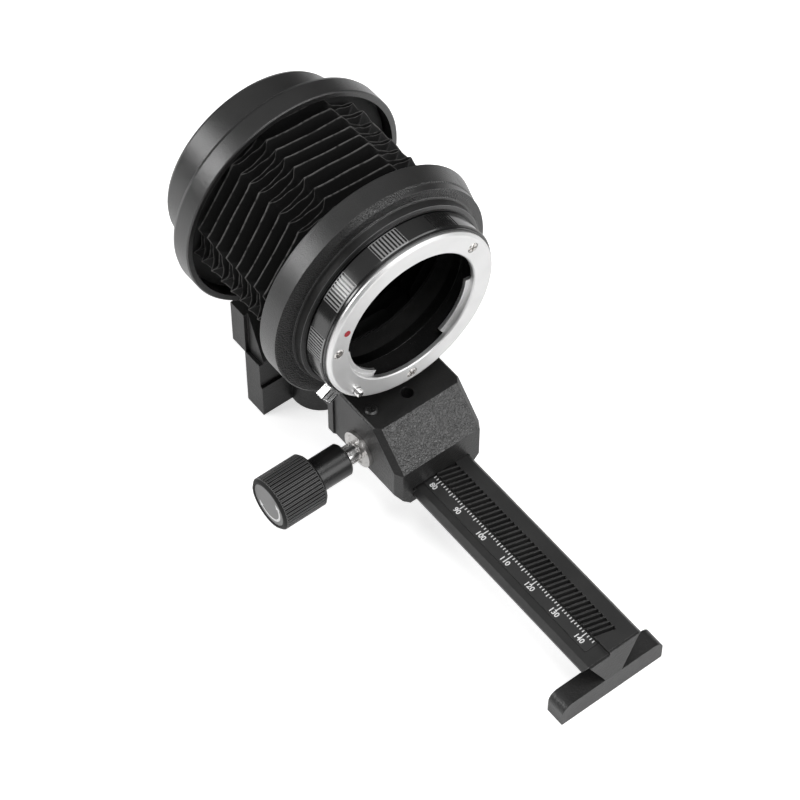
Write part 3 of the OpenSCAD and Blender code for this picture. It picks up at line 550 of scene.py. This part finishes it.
# The radius lies between valley and ridge on a section of flat panels; the corners are tucked in and a small ear
# stands out on each side of them.
def clothRadius(c, degrees, t, height):
    degrees = degrees - c["turn"]
    near = (degrees + 30) % 60 - 30  # degrees from the nearest corner
    width = 30 - c["panelHalf"]
    tuck = eased(t / 0.34) * eased((1 - t) / 0.34)
    fromMiddle = np.radians(np.abs((degrees % 60) - 30))
    panel, corner = np.radians(20), np.radians(30)
    flat = np.where(
        fromMiddle < panel,
        np.cos(panel) / np.cos(fromMiddle),
        np.cos(corner - panel) / np.cos(corner - fromMiddle),
    )
    left = 1 - 0.85 * np.clip(np.cos(np.radians(degrees + c["turn"] - 40)), 0, 1)  # softer on the right
    ear = c["ear"] * left * np.exp(-(((np.abs(near) - width - 0.6) / 1.6) ** 2)) * np.clip(height, 0, 1) ** 3
    high = flat * c["ridge"] - c["pinch"] * tuck
    low = flat * c["valley"] + 0.3 * tuck
    return (high + low) / 2 + (high - low) / 2 * height + ear


# Points go round the axis, x = r cos a and z = axis + r sin a, and y falls evenly with u. Waves round the axis
# wrinkle the radius and sway y, and fade out at both hems. The wall's inner side is the same at a smaller radius.
def clothPleat(c, index):
    degrees, t = clothColumns(c)
    u, height = clothFolds(c, index, t)
    v = np.broadcast_to(degrees, u.shape)
    radius = clothRadius(c, v, t, height)
    # how near each point is to a fold's tip; the cloth is painted pale there, partly rubbed and partly painted
    # highlight
    ridge = np.clip((height - 0.92) / 0.07, 0, 1)
    angle = np.radians(v)
    ends = np.clip(np.minimum(u, c["pleats"] - u) * 1.5, 0, 1)
    slack = np.sin(3 * angle + 1.7 * u) * np.sin(7 * angle - 0.9 * u + 1.3) + 0.6 * np.sin(13 * angle + 2.3 * u + 0.4)
    right = 0.45 + 0.9 * np.clip(np.cos(angle - np.radians(35)), 0, 1) ** 2
    radius = radius + c["wrinkle"] * slack * right * ends
    length = c["back"] - c["front"]
    sway = 0.35 * np.sin(2 * angle + 1.1 * u) * np.sin(np.pi * u / c["pleats"]) ** 0.5
    y = c["back"] - u / c["pleats"] * length + sway * ends
    sheets = []
    for wall in (0.0, c["wall"]):
        r = radius - wall
        sheets.append(np.stack([r * np.cos(angle), y, axisHeight + r * np.sin(angle)], -1).reshape(-1, 3))
    rows, columns = u.shape
    count = rows * columns
    outer = ringQuads(rows, columns)
    inner = ringQuads(rows, columns, count)[:, ::-1]
    k = np.arange(columns)
    n = (k + 1) % columns
    last = (rows - 1) * columns
    backRim = np.stack([count + k, count + n, n, k], -1)
    frontRim = np.stack([last + k, last + n, count + last + n, count + last + k], -1)
    quads = np.concatenate([outer, inner, backRim, frontRim])
    piece = makeMesh(f"clothPleat{index + 1}", np.concatenate(sheets), quads.tolist(), "cloth", smooth=True)
    mesh = piece.data
    mark = mesh.attributes.new("ridge", "FLOAT", "POINT")
    mark.data.foreach_set("value", np.concatenate([ridge.ravel(), ridge.ravel() * 0.3]).astype(np.float32))
    corner = np.zeros(len(mesh.loops), np.int32)
    mesh.loops.foreach_get("vertex_index", corner)
    uv = np.stack([v / 360, u], -1).reshape(-1, 2)
    uv = np.concatenate([uv, uv])[corner]
    first = np.repeat(np.arange(len(quads)) * 4, 4)
    uv[:, 0] = np.where((uv[first, 0] > 0.9) & (uv[:, 0] < 0.1), uv[:, 0] + 1, uv[:, 0])  # close the seam
    layer = mesh.uv_layers.new(name="clothMap")
    layer.data.foreach_set("uv", uv.astype(np.float32).ravel())
    return piece, quads, np.concatenate(sheets)


def share(w):  # where an eased step from 0 to 1 reaches w: 0.5 - sin(asin(1 - 2w) / 3)
    return 0.5 - math.sin(math.asin(1 - 2 * w) / 3)


def makeCloth(c):
    length = c["back"] - c["front"]
    for index in range(c["pleats"]):
        piece, quads, points = clothPleat(c, index)
        low, high = share(index / c["pleats"]), share((index + 1) / c["pleats"])
        y0 = c["back"] - index / c["pleats"] * length
        y1 = c["back"] - (index + 1) / c["pleats"] * length
        span = (y1 - y0) / (high - low)  # the length that would give each pleat an equal share of the travel
        start = y0 - low * span
        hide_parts("bellows")
        start * mm
        (start + span) * mm
        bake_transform(piece)
        outerQuads = c["rows"] * 4 * 6 * (c["cornerColumns"] + c["panelColumns"])
        p = points[quads[:outerQuads]] * mm
        area = float(np.linalg.norm(np.cross(p[:, 2] - p[:, 0], p[:, 3] - p[:, 1]), axis=1).sum() / 2)


makeCloth(cloth)
print("cloth folded:", cloth["pleats"], "pleats")


taper = {
    "band": (33.7, 34.3),  # radii of the band, which narrows towards the front
    "back": -22.3,
    "front": -28.9,
    "narrower": 1.65,
    "shorter": 1.5,
    "most": 20,  # degrees round the axis where it narrows most
    "step": (29.6, 30.4),  # radii of the step between cone and shoulder
    "stepFront": -30.2,
    "stepIn": 0.7,
    "stepBack": 0.4,
    "sharp": 24,  # degrees between faces that make an edge sharp
}


# The front ring with a band that narrows towards the lens: each point of the band keeps its angle, and its radius
# and y change by the share of the band's length that lies behind it, most at one angle and least opposite.
def makeFrontShell(t):
    source = nodes["front_ring"].data
    mesh = bpy.data.meshes.new("frontShell")
    shape = bmesh.new()
    shape.from_mesh(source)
    bmesh.ops.remove_doubles(shape, verts=shape.verts, dist=1e-6)
    shape.to_mesh(mesh)
    shape.free()
    flat = np.empty(len(mesh.vertices) * 3)
    mesh.vertices.foreach_get("co", flat)
    x, y, z = flat.reshape(-1, 3).T / mm
    z = z - axisHeight
    radius = np.hypot(x, z)
    band = (radius > t["band"][0]) & (radius < t["band"][1]) & (y < t["back"] + 0.2)
    step = (radius > t["step"][0]) & (radius < t["step"][1]) & (y < t["stepFront"])
    part = np.clip((t["back"] - y) / (t["back"] - t["front"]), 0, 1)
    part = part * (0.5 + 0.5 * np.cos(np.arctan2(z, x) - math.radians(t["most"]))) ** 2
    smaller = radius - band * t["narrower"] * part - step * t["stepIn"]
    y = y + band * t["shorter"] * part + step * t["stepBack"]
    turned = np.stack([x * smaller / radius, y, z * smaller / radius + axisHeight], -1) * mm
    mesh.vertices.foreach_set("co", turned.ravel())
    stale = mesh.attributes.get("custom_normal")
    if stale:
        mesh.attributes.remove(stale)
    mesh.polygons.foreach_set("use_smooth", np.full(len(mesh.polygons), True))
    mesh.set_sharp_from_angle(angle=math.radians(t["sharp"]))
    piece = addPiece("frontShell", mesh, "frontBlack", "carriage")
    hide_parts("front_ring")


makeFrontShell(taper)
print("front ring tapered")


scale = {
    "zero": 24.0,
    "first": 28,
    "last": 143,
    "inkEdge": -1.65,  # x where every mark starts
    "short": 0.78,
    "medium": 1.15,
    "long": 1.75,
    "line": 0.29,
    "numberSize": 2.15,
    "numberX": -4.28,
    "numbers": range(30, 150, 10),
    "bolder": 0.05,
    "lift": 0.02,
}


def makeScale(s):
    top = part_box("scale_strip")[1].z / mm + s["lift"]
    marks = np.arange(s["first"], s["last"] + 1)
    size = np.where(marks % 10 == 0, s["long"], np.where(marks % 5 == 0, s["medium"], s["short"]))
    y = s["zero"] - marks
    w = s["line"] / 2
    x = np.full(len(marks), s["inkEdge"])
    corners = [(x - size, y - w), (x, y - w), (x, y + w), (x - size, y + w)]
    points = np.stack([np.stack([a, b, np.full(len(marks), top)], -1) for a, b in corners], 1).reshape(-1, 3)
    quads = np.arange(len(points)).reshape(-1, 4)
    makeMesh("scaleMarks", points, quads.tolist(), "white", "rail")
    letters, faces, count = [], [], 0
    for number in s["numbers"]:
        curve = bpy.data.curves.new("number", "FONT")
        curve.body, curve.size, curve.align_x, curve.align_y = str(number), s["numberSize"], "CENTER", "CENTER"
        curve.offset, curve.resolution_u = s["bolder"], 4
        text = bpy.data.objects.new("number", curve)
        bpy.context.scene.collection.objects.link(text)
        bpy.context.view_layer.update()
        mesh = bpy.data.meshes.new_from_object(text.evaluated_get(bpy.context.evaluated_depsgraph_get()))
        flat = np.array([v.co for v in mesh.vertices])
        # written along -Y with the tops towards +X
        place = np.stack([s["numberX"] + flat[:, 1], s["zero"] - number - flat[:, 0], np.full(len(flat), top)], -1)
        letters.append(place)
        faces += [[count + i for i in p.vertices] for p in mesh.polygons]
        count += len(flat)
        bpy.data.objects.remove(text)
        bpy.data.meshes.remove(mesh)
    makeMesh("scaleNumbers", np.concatenate(letters), faces, "white", "rail")


makeScale(scale)
print("scale printed")


arrow = {"radius": 4.7, "line": 0.72, "from": -48.0, "to": -208.0, "steps": 60, "head": 1.5, "lift": 0.02}


# A ring arc on the knob's end: points at radius r and angle a from +Y towards +Z, with a head at each end.
def makeArrow(a):
    low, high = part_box("knob_disc")
    face, cy, cz = low.x / mm - a["lift"], (low.y + high.y) / 2 / mm, (low.z + high.z) / 2 / mm
    steps = a["steps"]
    turn = np.radians(np.linspace(a["from"], a["to"], steps))
    points = []
    for r in (a["radius"] - a["line"] / 2, a["radius"] + a["line"] / 2):
        points.append(np.stack([np.full(steps, face), cy + r * np.cos(turn), cz + r * np.sin(turn)], -1))
    k = np.arange(steps - 1)
    quads = np.stack([k, k + 1, steps + k + 1, steps + k], -1)
    heads = []
    for end, way in ((turn[0], 1), (turn[-1], -1)):
        tip = end + way * a["head"] * 1.25 / a["radius"]
        wide = a["head"] * 0.62  # half a head's width
        for r, t in ((-wide, end), (wide, end), (0, tip), (0, tip)):
            heads.append([face, cy + (a["radius"] + r) * math.cos(t), cz + (a["radius"] + r) * math.sin(t)])
    points = np.concatenate(points + [np.array(heads)])
    first = 2 * steps
    faces = quads.tolist() + [[first, first + 1, first + 2], [first + 4, first + 6, first + 5]]
    makeMesh("knobArrow", points, faces, "white", "knob")


makeArrow(arrow)
print("knob disc marked")


# ---- floor, backdrop and light

stageLook = {
    "floor": 0.88,
    "half": 0.75,  # metres from the middle to the floor's edge
    "near": 0.62,  # the floor's glow for the camera, which rises to 1 between the two distances below
    "rise": (0.20, 0.55),
    "mirror": 0.35,  # its glow in reflections
    "world": 0.08,
    "overhead": 0.36,  # the world's level above, with the heights that it rises between
    "heights": (0.15, 0.85),
}
lamps = [  # name, place in metres, size, watts
    ("leftBox", (-0.74, 0.46, 0.57), (0.60, 0.26), 5.0),
    ("frontBox", (0.42, -0.86, 0.44), (0.90, 0.60), 4.4),
    ("topBox", (0.00, -0.35, 0.95), (0.50, 0.40), 4.0),
]


def makeStage(s):
    size = s["half"]
    mesh = bpy.data.meshes.new("floor")
    mesh.from_pydata([(-size, -size, 0), (size, -size, 0), (size, size, 0), (-size, size, 0)], [], [(0, 1, 2, 3)])
    net = Net("floorPale")
    seen = net.add("ShaderNodeLightPath", out="Is Camera Ray")
    mirrored = net.add("ShaderNodeLightPath", out="Is Glossy Ray")
    x, y, _ = net.split(net.place())
    far = ((x * x + y * y) ** 0.5).ramp(*s["rise"])  # paler towards the edge, to meet the white behind it
    matt = net.add("ShaderNodeBsdfDiffuse", values=[(s["floor"],) * 3 + (1,)])
    glow = net.add(
        "ShaderNodeEmission", values={"Strength": seen * (s["near"] + far * (1 - s["near"])) + mirrored * s["mirror"]}
    )
    net.add("ShaderNodeOutputMaterial", values=[net.add("ShaderNodeAddShader", values=[matt, glow])])
    mesh.materials.append(net.material)
    floor = bpy.data.objects.new("floor", mesh)
    bpy.context.scene.collection.objects.link(floor)
    world = bpy.data.worlds.new("studio")
    bpy.context.scene.world = world
    net = Net("studio", world)
    up = net.split(net.place("Generated"))[2]
    level = net.add(
        "ShaderNodeMapRange", {"interpolation_type": "SMOOTHSTEP"}, [up, *s["heights"], s["world"], s["overhead"]]
    )
    level = level.do("MAXIMUM", net.add("ShaderNodeLightPath", out="Is Camera Ray"))
    back = net.add("ShaderNodeBackground", values={"Color": (1, 1, 1, 1), "Strength": level})
    net.add("ShaderNodeOutputWorld", values=[back])


def makeLamps(rows):
    aim = np.array([0.0, -0.02, 0.05])
    for name, place, size, watts in rows:
        data = bpy.data.lights.new(name, "AREA")
        data.shape, data.size, data.size_y, data.energy = "RECTANGLE", size[0], size[1], watts
        back = np.array(place) - aim
        back = back / np.linalg.norm(back)
        right = np.cross([0, 0, 1.0], back)
        right = right / np.linalg.norm(right)
        turn = np.eye(4)
        turn[:3, 0], turn[:3, 1], turn[:3, 2], turn[:3, 3] = right, np.cross(back, right), back, place
        lamp = bpy.data.objects.new(name, data)
        lamp.matrix_world = Matrix(turn.tolist())
        bpy.context.scene.collection.objects.link(lamp)


makeStage(stageLook)
makeLamps(lamps)
bpy.context.scene.view_settings.view_transform = "Standard"
print("stage lit")
